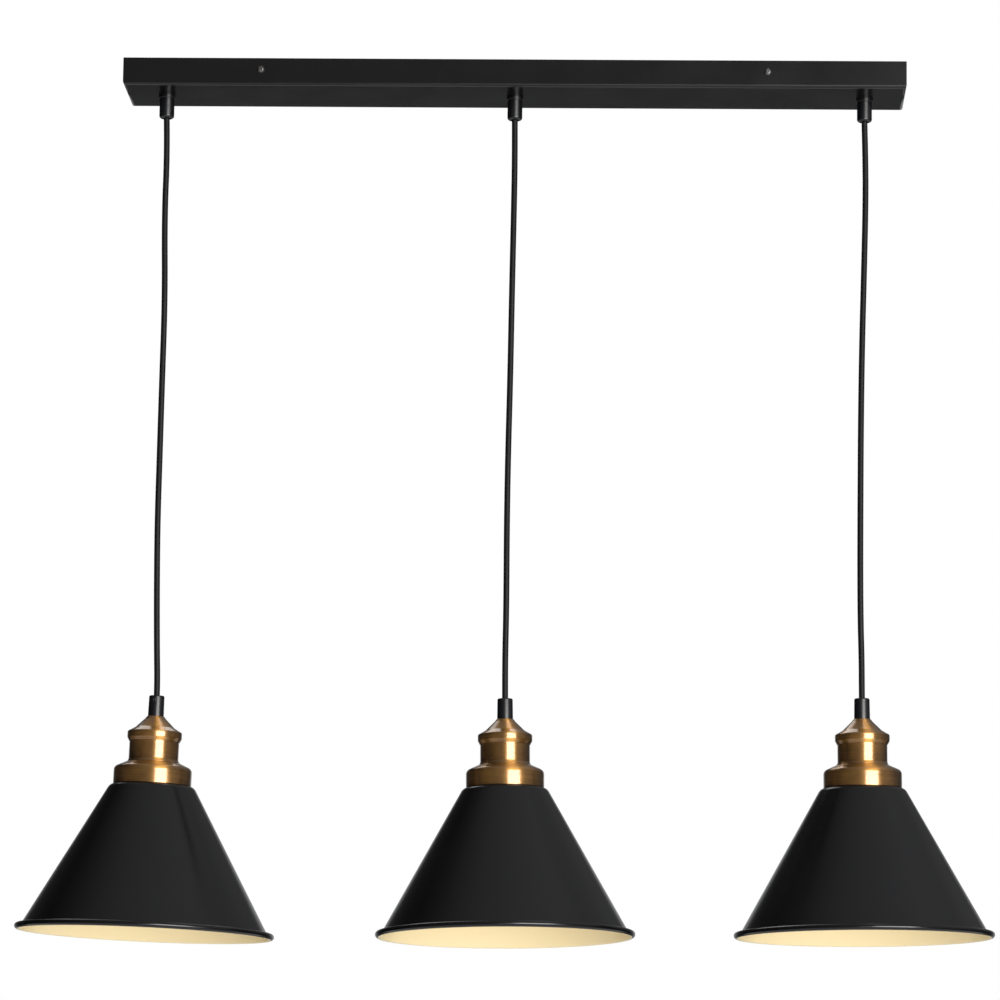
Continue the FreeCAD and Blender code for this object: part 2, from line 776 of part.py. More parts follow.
def bulb_cap():
    """The bulb's screw cap with its tip, drawn without its thread."""
    top = well_foot
    foot = top - BULB_CAP_LENGTH
    inner = BULB_CAP_R - BULB_CAP_WALL
    cone_top = tip_top
    cone_foot = cone_top - BULB_CAP_CONE
    return turned(
        [
            (0, top),
            (BULB_TIP_R, top, 1.0),
            (BULB_TIP_R, cone_top),
            (BULB_CAP_R, cone_foot, 1.0),
            (BULB_CAP_R, foot),
            (inner, foot),
            (inner, cone_foot - BULB_CAP_WALL),
            (BULB_TIP_R, cone_top - BULB_CAP_WALL),
            (0, cone_top - BULB_CAP_WALL),
        ]
    )


def bulb_glass():
    """The bulb's frosted glass, blown in one piece: neck, throat and globe."""
    foot = well_foot - BULB_CAP_LENGTH
    centre = well_foot - BULB_LENGTH + BULB_R
    throat = insert_foot - 1.0

    def wall(inset):
        """Half of the globe's outline, from the bottom up to the throat."""
        radius = BULB_R - inset
        angle = math.radians(38)
        side = V(radius * math.cos(angle), 0, centre + radius * math.sin(angle))
        middle = V(radius * math.cos(-angle / 2), 0, centre - radius * math.sin(angle / 2))
        neck = V(BULB_THROAT_R - inset, 0, throat)
        rise = neck - side
        bend = side + V(-math.sin(angle), 0, math.cos(angle)) * (rise.Length * 0.45)
        flank_curve = Part.BezierCurve()
        flank_curve.setPoles([side, bend, neck - V(0, 0, rise.Length * 0.35), neck])
        bottom = V(0, 0, centre - radius)
        return [
            Part.Arc(bottom, middle, side).toShape(),
            flank_curve.toShape(),
        ], neck

    outer, outer_neck = wall(0.0)
    inner, inner_neck = wall(BULB_WALL)
    top = foot + BULB_THROAT
    rim = [
        outer_neck,
        V(BULB_THROAT_R, 0, foot - 1.0),
        V(BULB_NECK_R, 0, foot - 0.5),
        V(BULB_NECK_R, 0, top),
        V(BULB_NECK_R - BULB_WALL, 0, top),
        V(BULB_NECK_R - BULB_WALL, 0, foot - 0.5 - BULB_WALL),
        inner_neck,
    ]
    runs = [Part.LineSegment(a, b).toShape() for a, b in zip(rim, rim[1:])]
    base = Part.LineSegment(V(0, 0, centre - BULB_R + BULB_WALL), V(0, 0, centre - BULB_R))
    chain = Part.sortEdges(outer + runs + inner + [base.toShape()])[0]
    return Part.Face(Part.Wire(chain)).revolve(V(0, 0, 0), UP, 360)


def lamp_pieces(side):
    """The pieces of one lamp about its own axis, with the shade's rim at height 0."""
    return {
        "grip": grip(side),
        "grip_screw": set_screw(GRIP_TOP_D / 2, grip_top - GRIP_SCREW_DROP, GRIP_SCREW_DEG[side]),
        "cap": cap(),
        "sleeve": sleeve(),
        "collar": collar(),
        "shade": shade(),
        "shade_ring": shade_ring(),
        "insert": insert(),
        "screw_shell": screw_shell(),
        "contact": contact(),
        "bulb_cap": bulb_cap(),
        "bulb_glass": bulb_glass(),
    }


def lamp_placement(side):
    """Where a lamp hangs: in line with the last run of its cable."""
    points = hung_points(side)
    along = points[-1] - points[-2]
    turn = FreeCAD.Rotation(V(0, 0, -1), along)
    held = V(0, 0, grip_top - GRIP_HOLD)
    return FreeCAD.Placement(points[-1] - turn.multVec(held), turn)


def canopy_nodes():
    """Every piece that stays on the ceiling."""
    nodes = {
        "housing": housing(),
        "bracket": bracket(),
        "fixing_screws": fixing_screws(),
        "terminal_block": terminal_block(),
        "terminal_screws": terminal_screws(),
        "earth_stud": earth_stud(),
        "earth_nut": hex_nut(
            EARTH_NUT_FLATS,
            EARTH_NUT_HEIGHT,
            EARTH_D + 2 * THREAD_PLAY,
            V(EARTH_X, 0, floor + EARTH_FOOT),
        ),
    }
    bushing = gland()
    nuts, screws = [], []
    for side, x in lamp_x.items():
        at_bar = V(x, 0, underside)
        nodes[f"{side}_gland"] = placed(bushing, at_bar)
        nodes[f"{side}_lead"] = lead(side)
        nuts.append(hex_nut(NUT_FLATS, NUT_HEIGHT, THREAD_D + 2 * THREAD_PLAY, V(x, 0, floor)))
        screw = set_screw(GLAND_D / 2, 0, 180.0)
        screw.translate(at_bar - UP * GLAND_SCREW_DROP)
        screws.append(screw)
    nodes["gland_nuts"] = Part.makeCompound(nuts)
    nodes["gland_screws"] = Part.makeCompound(screws)
    return nodes


def pendant_nodes(side):
    """Every piece that hangs at one gland."""
    nodes = {
        f"{side}_cable_flex": Part.makeSphere(cable_r, V(lamp_x[side], 0, hinge)),
        f"{side}_cable": free_cable(side),
    }
    placement = lamp_placement(side)
    for name, shape in lamp_pieces(side).items():
        shape.Placement = placement.multiply(shape.Placement)
        nodes[f"{side}_{name}"] = shape
    return nodes


def main():
    os.makedirs("parts", exist_ok=True)
    nodes = canopy_nodes()
    for side in lamp_x:
        nodes.update(pendant_nodes(side))
    for name, shape in nodes.items():
        if not shape.isValid() or shape.Volume <= 0:
            print(f"{name}: not a valid solid")
        shape.exportStep(f"parts/{name}.step")
    print(f"{len(nodes)} nodes")


main()
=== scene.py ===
import json
import math

import bmesh
import bpy
from bpy.props import FloatProperty, FloatVectorProperty, IntProperty, PointerProperty
from mathutils import Matrix, Vector

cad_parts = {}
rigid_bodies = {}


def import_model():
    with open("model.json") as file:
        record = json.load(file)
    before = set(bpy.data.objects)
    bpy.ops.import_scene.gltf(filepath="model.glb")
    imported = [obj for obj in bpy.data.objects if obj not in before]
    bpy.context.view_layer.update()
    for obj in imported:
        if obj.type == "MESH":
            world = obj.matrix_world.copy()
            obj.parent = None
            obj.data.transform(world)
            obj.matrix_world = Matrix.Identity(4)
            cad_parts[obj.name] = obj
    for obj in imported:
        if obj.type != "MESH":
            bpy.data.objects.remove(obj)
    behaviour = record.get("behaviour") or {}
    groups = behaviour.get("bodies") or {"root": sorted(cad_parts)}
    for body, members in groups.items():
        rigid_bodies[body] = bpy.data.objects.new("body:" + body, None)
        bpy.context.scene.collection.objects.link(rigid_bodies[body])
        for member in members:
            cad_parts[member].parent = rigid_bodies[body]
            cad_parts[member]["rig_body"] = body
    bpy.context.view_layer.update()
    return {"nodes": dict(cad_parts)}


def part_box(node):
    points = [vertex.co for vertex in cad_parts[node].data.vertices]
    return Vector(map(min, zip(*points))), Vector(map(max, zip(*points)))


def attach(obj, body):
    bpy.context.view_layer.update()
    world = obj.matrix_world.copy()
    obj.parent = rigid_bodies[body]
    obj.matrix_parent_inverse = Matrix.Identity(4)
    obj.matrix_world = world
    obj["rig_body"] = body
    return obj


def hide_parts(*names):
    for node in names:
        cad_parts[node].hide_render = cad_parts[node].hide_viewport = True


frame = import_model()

bl_info = {
    "name": "Bar light with three cone shades",
    "version": (1, 0, 0),
    "blender": (4, 5, 0),
    "location": "3D View > Sidebar > Bar light",
    "description": "Dresses a ceiling bar with cone shades on cables, and lights it as in a studio",
    "category": "Object",
}

SIDES = ("left", "middle", "right")

# The way that each grip's set screw faces, counted from the front
GRIP_SCREW_DEG = {"left": -12.0, "middle": 165.0, "right": 150.0}

# Each cable's route from its hinge, in millimetres: sideways, towards the back, down
ROUTES_MM = {
    "left": (
        (0, 0, 0), (1.2, -0.3, 31), (0.3, -1, 88), (2.6, -2.1, 163),
        (1.9, -3, 238), (1.5, -3.7, 305), (1.1, -4.2, 362), (2.1, -4.5, 423),
        (3.3, -4.2, 470), (4.46, -3.43, 503.5), (3.86, -2.97, 522.5),
    ),
    "middle": (
        (0, 0, 0), (0.5, -0.3, 33), (0.3, -0.8, 80), (-0.5, -0.4, 155),
        (-1, 0.5, 228), (-2.1, 1, 300), (-2.3, 0.6, 362), (-1.8, -0.2, 430),
        (-2.2, -0.4, 474), (-1.91, 0, 503.9), (-1.67, 0, 521.9),
    ),
    "right": (
        (0, 0, 0), (0.8, 0.2, 28), (1.2, 0.1, 70), (-0.3, -0.8, 138),
        (-1.9, -1.9, 200), (-2.8, -2.8, 268), (-3.1, -3.5, 340), (-3.2, -3.9, 400),
        (-2.8, -3.7, 443), (-1.9, -3.2, 472), (-1.66, -2.66, 500.6), (-1.44, -2.31, 519.3),
    ),
}

# Small forms, in metres
SLOT_WIDTH = 0.0008
SLOT_DEPTH = 0.0009
CHAMFER = 0.0006
SOFT_EDGE = 0.0005
BUSHING_THREAD = 0.0004
CLEARANCE = 0.0001
SCREW_PROUD = 0.00015

# Steps round the small pieces
SCREW_SEGMENTS = 40
BUSHING_SEGMENTS = 64
BULB_SEGMENTS = 96

# Angles between the steps of a rounding, and from which two faces meet in a sharp edge
FINE_STEP_DEG = 6.0
SHARP_DEG = 32.0
BLUNT_DEG = 40.0


def linear(hex_colour):
    """An sRGB hex colour as three linear numbers."""
    parts = [int(hex_colour[i : i + 2], 16) / 255 for i in (1, 3, 5)]
    return tuple(c / 12.92 if c <= 0.04045 else ((c + 0.055) / 1.055) ** 2.4 for c in parts)


def mm(length, description):
    """A length in millimetres that a user may change."""
    return FloatProperty(
        description=description,
        default=length / 1000,
        min=0.0,
        unit="LENGTH",
        precision=5,
    )


def colour(hex_colour, description):
    """A colour that a user may change."""
    return FloatVectorProperty(
        description=description,
        default=linear(hex_colour),
        size=3,
        min=0.0,
        max=1.0,
        subtype="COLOR",
    )


class HangingSizes(bpy.types.PropertyGroup):
    """Where the lamps hang."""

    spacing: mm(305, "Distance between two glands")
    hinge_depth: mm(44.1, "From the ceiling to where a cable bends")
    underside: mm(24, "From the ceiling to the underside of the bar")
    cable: mm(5.2, "Diameter of the cable")
    held: mm(12, "How far the cable goes into the grip")


class BushingSizes(bpy.types.PropertyGroup):
    """The glands under the bar and the grips on the holders."""

    bore: mm(2.7, "Radius of the cable's way through")
    thread: mm(5, "Outer radius of the thread")
    pitch: mm(1.25, "Distance between two turns of the thread")
    gland_radius: mm(6.5, "Radius of the gland's barrel")
    gland_length: mm(20.6, "From the bar to the gland's mouth")
    gland_collar: mm(7.2, "Radius of the collar against the bar")
    gland_collar_height: mm(2.6, "Height of that collar")
    gland_round: mm(2.4, "Rounding of the gland's lower edge")
    gland_rise: mm(7, "How far the thread goes up into the bar")
    mouth: mm(3.714, "Radius of the flared mouth")
    throat: mm(3.37, "Radius where the cable bends")
    grip_top: mm(6.55, "Radius of the grip at its top")
    grip_foot: mm(6.8, "Radius of the grip on the cap")
    grip_length: mm(17.9, "Height of the grip above the cap")
    grip_round: mm(1.1, "Rounding of the grip's top edge")
    grip_drop: mm(9, "How far the thread goes down into the cap")
    grip_screw_drop: mm(3.8, "From the grip's top to its set screw")
    gland_screw_drop: mm(9, "From the bar to the gland's set screw")
    set_screw: mm(1.5, "Radius of the slotted set screws")


class HolderSizes(bpy.types.PropertyGroup):
    """The spun brass of a holder."""

    sheet: mm(0.8, "Thickness of the brass")
    hole: mm(19.8, "Radius of the hole in the collar and the shade")
    collar: mm(33.5, "Radius of the wide cup on the shade")
    collar_height: mm(19.3, "Height of that cup")
    collar_land: mm(23.2, "Radius of its flat top")
    collar_slope: mm(4.8, "Drop of its sloped shoulder")
    collar_round: mm(4.5, "Rounding between shoulder and side")
    sleeve: mm(21.3, "Radius of the sleeve")
    sleeve_shown: mm(18, "Height of the sleeve below the cap")
    sleeve_hidden: mm(6, "How far it goes up inside the cap")
    sleeve_foot: mm(22.7, "Radius of its flared foot")
    foot_height: mm(2.4, "Height of that foot")
    cap_height: mm(21.8, "Height of the cap")
    cap: mm(23.4, "Radius of the cap's band")
    cap_top: mm(7.4, "Radius of its flat top")
    neck: mm(9, "Radius below the neck")
    neck_drop: mm(2.1, "Height of the neck")
    knee: mm(16.9, "Radius where the cone changes slope")
    knee_drop: mm(9.8, "From the top to that place")
    shoulder_drop: mm(13.6, "From the top to the band")
    band_foot: mm(3, "Height of the tapered foot of the band")
    cap_round: mm(1.6, "Rounding at the band's two edges")


class ShadeSizes(bpy.types.PropertyGroup):
    """The shade, spun from steel sheet, with a curled edge."""

    height: mm(125.4, "From the rim to the flat top")
    top: mm(35.7, "Radius where the flank would meet the top")
    foot: mm(106.1, "Radius of the flank at the rim")
    sheet: mm(0.8, "Thickness of the sheet")
    shoulder: mm(7, "Rounding between the top and the flank")
    curl: mm(2.6, "Radius of the curled edge")
    curl_open: FloatProperty(
        description="Angle that the curl leaves open towards the flank",
        default=math.radians(58),
        subtype="ANGLE",
    )


class BulbSizes(bpy.types.PropertyGroup):
    """A standard bulb and the holder's insulating body."""

    top: mm(138.1, "From the rim up to the tip of the bulb")
    length: mm(105.5, "Length of the bulb")
    globe: mm(30, "Radius of the glass globe")
    throat: mm(13.2, "Radius of the glass above the globe")
    neck: mm(12.5, "Radius of the glass inside the cap")
    wall: mm(1, "Thickness of the glass")
    cap: mm(13.1, "Outer radius of the screw cap's thread")
    cap_length: mm(24, "Length of the screw cap with its tip")
    cap_wall: mm(0.5, "Thickness of its metal")
    cap_cone: mm(3, "Height of the cone under the tip")
    tip: mm(4.6, "Radius of the contact tip")
    tip_height: mm(1.5, "Height of the contact tip")
    pitch: mm(3.6, "Distance between two turns of the cap's thread")
    depth: mm(0.9, "Depth of the cap's thread")
    foot: mm(103.1, "From the rim up to the foot of the insulating body")


class FinishColours(bpy.types.PropertyGroup):
    """Colours of the finishes."""

    paint: colour("#070708", "Satin powder coat on the bar and the shades")
    inside: colour("#e6d4a8", "Cream enamel inside the shades")
    brass: colour("#ca934c", "Brushed brass where the brush has cut through")
    patina: colour("#86602a", "Darkened brass between the brush lines")
    moulding: colour("#060709", "Moulded glands and grips")
    sheath: colour("#060608", "Flexible sheath of the cables")
    zinc: colour("#b4b6b3", "Zinc plated steel")
    glow: colour("#fff1c6", "Light of the bulbs")


class StudioSettings(bpy.types.PropertyGroup):
    """The floor and the lights."""

    floor_drop: mm(5600, "From the ceiling down to the floor")
    key_power: FloatProperty(
        description="Radiance of the wide softbox in front, to the right",
        default=16.0,
        min=0.0,
    )
    segments: IntProperty(description="Steps round a spun piece", default=144, min=24, max=256)


# Nodes


def add(tree, kind, inputs=None, **settings):
    """Adds a node with its settings. An input is a value or the output that feeds it."""
    made = tree.nodes.new(kind)
    for name, value in settings.items():
        setattr(made, name, value)
    for key, value in (inputs or {}).items():
        if isinstance(value, bpy.types.NodeSocket):
            tree.links.new(value, made.inputs[key])
        else:
            made.inputs[key].default_value = value
    return made.outputs[0] if len(made.outputs) else made


def math_node(tree, operation, *values):
    """A sum, product or other function of numbers."""
    return add(tree, "ShaderNodeMath", dict(enumerate(values)), operation=operation)


def new_finish(name, base, roughness, relief=None, wear=None, **sockets):
    """A material with its fixed values on its own sockets.

    A relief is a noise, its height in millimetres and a strength. A wear is a noise and the two
    values that it moves the roughness between.
    """
    finish = bpy.data.materials.new(name)
    finish.use_nodes = True
    tree = finish.node_tree
    shader = tree.nodes["Principled BSDF"]
    sockets = {"Base Color": (*base, 1), "Roughness": roughness, **sockets}
    for key, value in sockets.items():
        shader.inputs[key.replace("_", " ")].default_value = value
    if relief:
        bump(tree, shader, grain(tree, *relief[0]), *relief[1:])
    if wear:
        uneven(tree, shader, grain(tree, *wear[0]), *wear[1:])
    return finish


def grain(tree, per_metre, detail=2.0, roughness=0.5, stretch=(1, 1, 1), attribute=None):
    """Noise with that many features to the metre, on the object or on a piece's own attribute."""
    if attribute:
        source = tree.nodes.new("ShaderNodeAttribute")
        source.attribute_name = attribute
        vector = source.outputs["Vector"]
    else:
        vector = tree.nodes.new("ShaderNodeTexCoord").outputs["Object"]
    vector = add(tree, "ShaderNodeMapping", {"Vector": vector, "Scale": stretch})
    inputs = {"Vector": vector, "Scale": per_metre, "Detail": detail, "Roughness": roughness}
    return add(tree, "ShaderNodeTexNoise", inputs)


def spread(tree, value, low, high, first=0.3, last=0.7):
    """Turns a value between first and last into one between low and high."""
    inputs = {"Value": value, "From Min": first, "From Max": last, "To Min": low, "To Max": high}
    return add(tree, "ShaderNodeMapRange", inputs)


def bump(tree, shader, height, millimetres, strength):
    """Raises the surface by a pattern that is so many millimetres high."""
    inputs = {"Height": height, "Distance": millimetres / 1000, "Strength": strength}
    normal = add(tree, "ShaderNodeBump", inputs)
    tree.links.new(normal, shader.inputs["Normal"])


def uneven(tree, shader, noise, low, high):
    """Lets the roughness wander between two values."""
    tree.links.new(spread(tree, noise, low, high), shader.inputs["Roughness"])


def powder_coat(colours):
    """Satin black powder coat on steel: sprayed and baked, so it has a fine orange peel."""
    # The peel is about 0.8 mm from crest to crest and 0.01 mm high
    peel, cloud = ((1200,), 0.012, 0.6), ((18, 3.0), 0.19, 0.24)
    return new_finish("Satin black powder coat", colours.paint, 0.21, peel, cloud, IOR=1.4)


def cream_enamel(colours):
    """Cream enamel inside the shades: smooth, a little glossy, and warm in the bulb's light."""
    return new_finish("Cream enamel", colours.inside, 0.38, ((900,), 0.01, 0.5))


def brushed_brass(colours):
    """Antiqued brass: darkened, then brushed round on a lathe and lacquered.

    The brush leaves fine bright lines round the axis, and dark patina between them. The lines draw
    a light out up and down but keep it sharp sideways, and the lacquer reflects it white.
    """
    brushed = {"Metallic": 1.0, "Anisotropic": 0.95, "Anisotropic_Rotation": 0.25}
    lacquer = {"Coat_Weight": 1.0, "Coat_Roughness": 0.16}
    finish = new_finish("Brushed antique brass", colours.brass, 0.3, **brushed, **lacquer)
    tree, shader = finish.node_tree, finish.node_tree.nodes["Principled BSDF"]
    around = add(tree, "ShaderNodeTangent", direction_type="RADIAL", axis="Z")
    tree.links.new(around, shader.inputs["Tangent"])
    # Lines are about 25 mm long. Real ones are 0.1 mm apart, and these 0.4 mm so that they show
    lines = grain(tree, 1.0, 3.0, 0.6, (45, 45, 2500), "spun_place")
    blotches = grain(tree, 70, 3.0)
    wear = math_node(tree, "ADD", spread(tree, lines, 0.0, 0.62), spread(tree, blotches, -0.1, 0.3))
    tint = tree.nodes.new("ShaderNodeMix")
    tint.data_type = "RGBA"
    tint.inputs["A"].default_value = (*colours.patina, 1)
    tint.inputs["B"].default_value = (*colours.brass, 1)
    tree.links.new(wear, tint.inputs["Factor"])
    tree.links.new(tint.outputs["Result"], shader.inputs["Base Color"])
    uneven(tree, shader, lines, 0.38, 0.46)
    bump(tree, shader, lines, 0.02, 0.35)
    return finish


def black_moulding(colours):
    """Glass-filled nylon, injection moulded against a fine spark-eroded texture."""
    spark = ((2600,), 0.02, 0.5)
    return new_finish("Moulded black nylon", colours.moulding, 0.33, spark, IOR=1.45)


def cable_sheath(colours):
    """Extruded flexible vinyl: smooth, with a soft shine and faint draw lines along it."""
    lines = (1.0, 2.0, 0.5, (700, 700, 12))
    relief, wear = (lines, 0.006, 0.3), (lines, 0.5, 0.6)
    return new_finish("Vinyl cable sheath", colours.sheath, 0.55, relief, wear, IOR=1.3)


def zinc_plate(colours):
    """Bright zinc on pressed steel: a cool grey with faint cloudy patches from the bath."""
    rolled = ((1.0, 2.0, 0.5, (20, 1500, 1500)), 0.01, 0.4)
    cloud = ((160, 4.0), 0.3, 0.4)
    return new_finish("Zinc plated steel", colours.zinc, 0.34, rolled, cloud, Metallic=1.0)


def pale_moulding(_colours):
    """Natural polyamide of a terminal block: waxy, slightly see-through, off-white."""
    soft = {"Subsurface_Weight": 0.15, "Subsurface_Radius": (0.002, 0.0016, 0.001)}
    skin = ((1200,), 0.02, 0.5)
    return new_finish("Natural polyamide", linear("#ddd8c8"), 0.4, skin, **soft)


def frosted_glass(colours):
    """A bulb's glass, frosted inside: lit, it looks like a soft white ball of light."""
    lit = {"Emission_Color": (*colours.glow, 1), "Emission_Strength": 1.75}
    frost = ((1500,), 0.01, 0.4)
    return new_finish("Frosted bulb glass", linear("#fff6e4"), 0.35, frost, **lit)


# Each finish has the name of the material slot that it fills in the part
COATINGS = {
    "black_paint": powder_coat,
    "shade_inside": cream_enamel,
    "brass": brushed_brass,
    "moulded_black": black_moulding,
    "cable_sheath": cable_sheath,
    "zinc_steel": zinc_plate,
    "moulded_pale": pale_moulding,
    "bulb_glass": frosted_glass,
}
# Bare metals, with their colour, their roughness and their wear
WORN_METALS = {
    # Slotted steel screws, blackened and oiled: they shine only where they are worn
    "screw_steel": ("Blackened steel", "#5c5b59", 0.36, ((900, 3.0), 0.25, 0.5)),
    # Turned brass of screws and contacts, paler than the antiqued holder
    "contact_brass": ("Turned brass", "#d9b56c", 0.3, ((500, 3.0), 0.22, 0.42)),
    # Drawn aluminium of a bulb's screw cap, faintly scratched by the holder
    "bulb_metal": (
        "Drawn aluminium",
        "#c9c9c6",
        0.3,
        ((1.0, 2.0, 0.5, (150, 150, 1800)), 0.22, 0.42),
    ),
}


def finish(context, name):
    """The finish for a material slot, made the first time that it is asked for."""
    key = f"finish_{name}"
    if key not in context.scene:
        if name in WORN_METALS:
            label, tint, roughness, wear = WORN_METALS[name]
            made = new_finish(label, linear(tint), roughness, None, wear, Metallic=1.0)
        else:
            made = COATINGS[name](context.scene.bar_light_colours)
        context.scene[key] = made
    return context.scene[key]


# Shapes


def outline(corners, step_deg=9.0):
    """The points of a closed outline. A corner is (r, z), or (r, z, radius) where it is rounded."""
    points = []
    count = len(corners)
    for i, corner in enumerate(corners):
        here = Vector(corner[:2])
        radius = corner[2] if len(corner) > 2 else 0.0
        if radius <= 0:
            points.append(here)
            continue
        back = (Vector(corners[i - 1][:2]) - here).normalized()
        on = (Vector(corners[(i + 1) % count][:2]) - here).normalized()
        half = back.angle(on) / 2
        middle = here + (back + on).normalized() * (radius / math.sin(half))
        first = here + back * (radius / math.tan(half)) - middle
        turn = math.pi - 2 * half
        sense = 1 if back.x * on.y - back.y * on.x < 0 else -1
        steps = max(2, math.ceil(math.degrees(turn) / step_deg))
        for k in range(steps + 1):
            angle = sense * turn * k / steps
            c, s = math.cos(angle), math.sin(angle)
            points.append(middle + Vector((first.x * c - first.y * s, first.x * s + first.y * c)))
    return points


def divided(points, longest, low, high):
    """Adds points on the runs between two heights, so that a thread has rows to follow."""
    made = []
    for a, b in zip(points, points[1:] + points[:1]):
        made.append(a)
        if min(a.y, b.y) >= low - 1e-7 and max(a.y, b.y) <= high + 1e-7:
            steps = math.ceil((b - a).length / longest)
            made += [a.lerp(b, k / steps) for k in range(1, steps)]
    return made


def new_tree(name, sockets):
    """A node tree with those inputs and one output, and what its inputs give."""
    tree = bpy.data.node_groups.new(name, "GeometryNodeTree")
    for label, kind in sockets.items():
        tree.interface.new_socket(label, in_out="INPUT", socket_type=f"NodeSocket{kind}")
    tree.interface.new_socket("Piece", in_out="OUTPUT", socket_type="NodeSocketGeometry")
    return tree, tree.nodes.new("NodeGroupInput").outputs


def finished_tree(tree, mesh, material):
    """Gives a tree's mesh its finish and sends it out."""
    mesh = add(tree, "GeometryNodeRealizeInstances", {"Geometry": mesh})
    mesh = add(tree, "GeometryNodeSetMaterial", {"Geometry": mesh, "Material": material})
    tree.links.new(mesh, tree.nodes.new("NodeGroupOutput").inputs[0])
    return tree


def carried(tree, name, kind):
    """What a mesh carries under that name."""
    return add(tree, "GeometryNodeInputNamedAttribute", {"Name": name}, data_type=kind)


def spun_tree():
    """Node tree that turns a closed profile about Z, and can cut a thread into part of it."""
    name = "Spun piece"
    if name in bpy.data.node_groups:
        return bpy.data.node_groups[name]
    sockets = {
        "Profile": "Geometry",
        "Segments": "Int",
        "Thread pitch": "Float",
        "Thread depth": "Float",
        "Finish": "Material",
    }
    tree, given = new_tree(name, sockets)

    def calc(operation, *values):
        return math_node(tree, operation, *values)

    profile = given["Profile"]
    rows = add(tree, "GeometryNodeAttributeDomainSize", {"Geometry": profile}, component="MESH")
    columns = calc("ADD", given["Segments"], 1.0)
    counts = {"Vertices X": calc("ADD", rows, 1.0), "Vertices Y": columns}
    grid = add(tree, "GeometryNodeMeshGrid", counts)
    index = tree.nodes.new("GeometryNodeInputIndex").outputs[0]
    row = calc("FLOOR", calc("DIVIDE", index, columns))
    row = calc("FLOORED_MODULO", calc("ADD", row, 0.001), rows)
    share = calc("DIVIDE", calc("FLOORED_MODULO", index, columns), given["Segments"])
    angle = calc("MULTIPLY", share, math.tau)

    def sampled(value, kind):
        """The profile's value at this row."""
        inputs = {"Geometry": profile, "Value": value, "Index": calc("FLOOR", row)}
        return add(tree, "GeometryNodeSampleIndex", inputs, data_type=kind)

    spot = sampled(tree.nodes.new("GeometryNodeInputPosition").outputs[0], "FLOAT_VECTOR")
    split = tree.nodes.new("ShaderNodeSeparateXYZ")
    tree.links.new(spot, split.inputs[0])
    radius, height = split.outputs["X"], split.outputs["Z"]
    threaded = sampled(carried(tree, "threaded", "FLOAT"), "FLOAT")
    turns = calc("DIVIDE", height, given["Thread pitch"])
    phase = calc("MULTIPLY", calc("SUBTRACT", turns, share), math.tau)
    wave = calc("MULTIPLY_ADD", calc("COSINE", phase), 0.5, 0.5)
    cut = calc("MULTIPLY", calc("MULTIPLY", wave, given["Thread depth"]), threaded)
    reach = calc("SUBTRACT", radius, cut)
    across, along = calc("COSINE", angle), calc("SINE", angle)
    place = {0: calc("MULTIPLY", reach, across), 1: calc("MULTIPLY", reach, along), 2: height}
    # A place for patterns: round the axis in the first two numbers, along the profile in the third
    ring = 0.02
    pattern = {
        0: calc("MULTIPLY", across, ring),
        1: calc("MULTIPLY", along, ring),
        2: calc("SUBTRACT", height, radius),
    }
    place, pattern = (add(tree, "ShaderNodeCombineXYZ", parts) for parts in (place, pattern))
    mesh = add(tree, "GeometryNodeSetPosition", {"Geometry": grid, "Position": place})
    mesh = add(
        tree,
        "GeometryNodeStoreNamedAttribute",
        {"Geometry": mesh, "Name": "spun_place", "Value": pattern},
        data_type="FLOAT_VECTOR",
        domain="POINT",
    )
    mesh = add(tree, "GeometryNodeMergeByDistance", {"Geometry": mesh, "Distance": 1e-6})
    return finished_tree(tree, mesh, given["Finish"])


def linked(context, name, data):
    """A new object in the scene."""
    made = bpy.data.objects.new(name, data)
    context.scene.collection.objects.link(made)
    return made


def result_of(context, shape):
    """What an object's modifiers make of it, as a plain mesh."""
    context.view_layer.update()
    graph = context.evaluated_depsgraph_get()
    return bpy.data.meshes.new_from_object(shape.evaluated_get(graph))


def evaluated(context, source, tree, values):
    """What a node tree makes of a mesh, as a plain mesh. Values are keyed by the inputs' names."""
    holder = linked(context, "source", source)
    modifier = holder.modifiers.new("Nodes", "NODES")
    modifier.node_group = tree
    for item in tree.interface.items_tree:
        if item.in_out == "INPUT" and item.name in values:
            modifier[item.identifier] = values[item.name]
    mesh = result_of(context, holder)
    bpy.data.objects.remove(holder)
    bpy.data.meshes.remove(source)
    # The node that sets the finish leaves an empty slot in front of it
    mesh.materials.clear()
    if values["Finish"]:
        mesh.materials.append(values["Finish"])
    return mesh


def spun(context, points, coat=None, pitch=0.001, depth=0.0, thread=(1.0, -1.0), segments=None):
    """A piece turned about Z from its profile. A thread is cut between two heights."""
    profile = bpy.data.meshes.new("profile")
    profile.from_pydata([(p.x, 0, p.y) for p in points], [], [])
    marks = profile.attributes.new("threaded", "FLOAT", "POINT")
    outermost = max(p.x for p in points if thread[0] <= p.y <= thread[1]) if depth else 0.0
    for i, p in enumerate(points):
        cut = thread[0] < p.y < thread[1] and p.x > outermost - 1e-5
        marks.data[i].value = 1.0 if cut else 0.0
    values = {
        "Segments": segments or context.scene.bar_light_studio.segments,
        "Thread pitch": pitch,
        "Thread depth": depth,
        "Finish": finish(context, coat) if coat else None,
    }
    return evaluated(context, profile, spun_tree(), values)


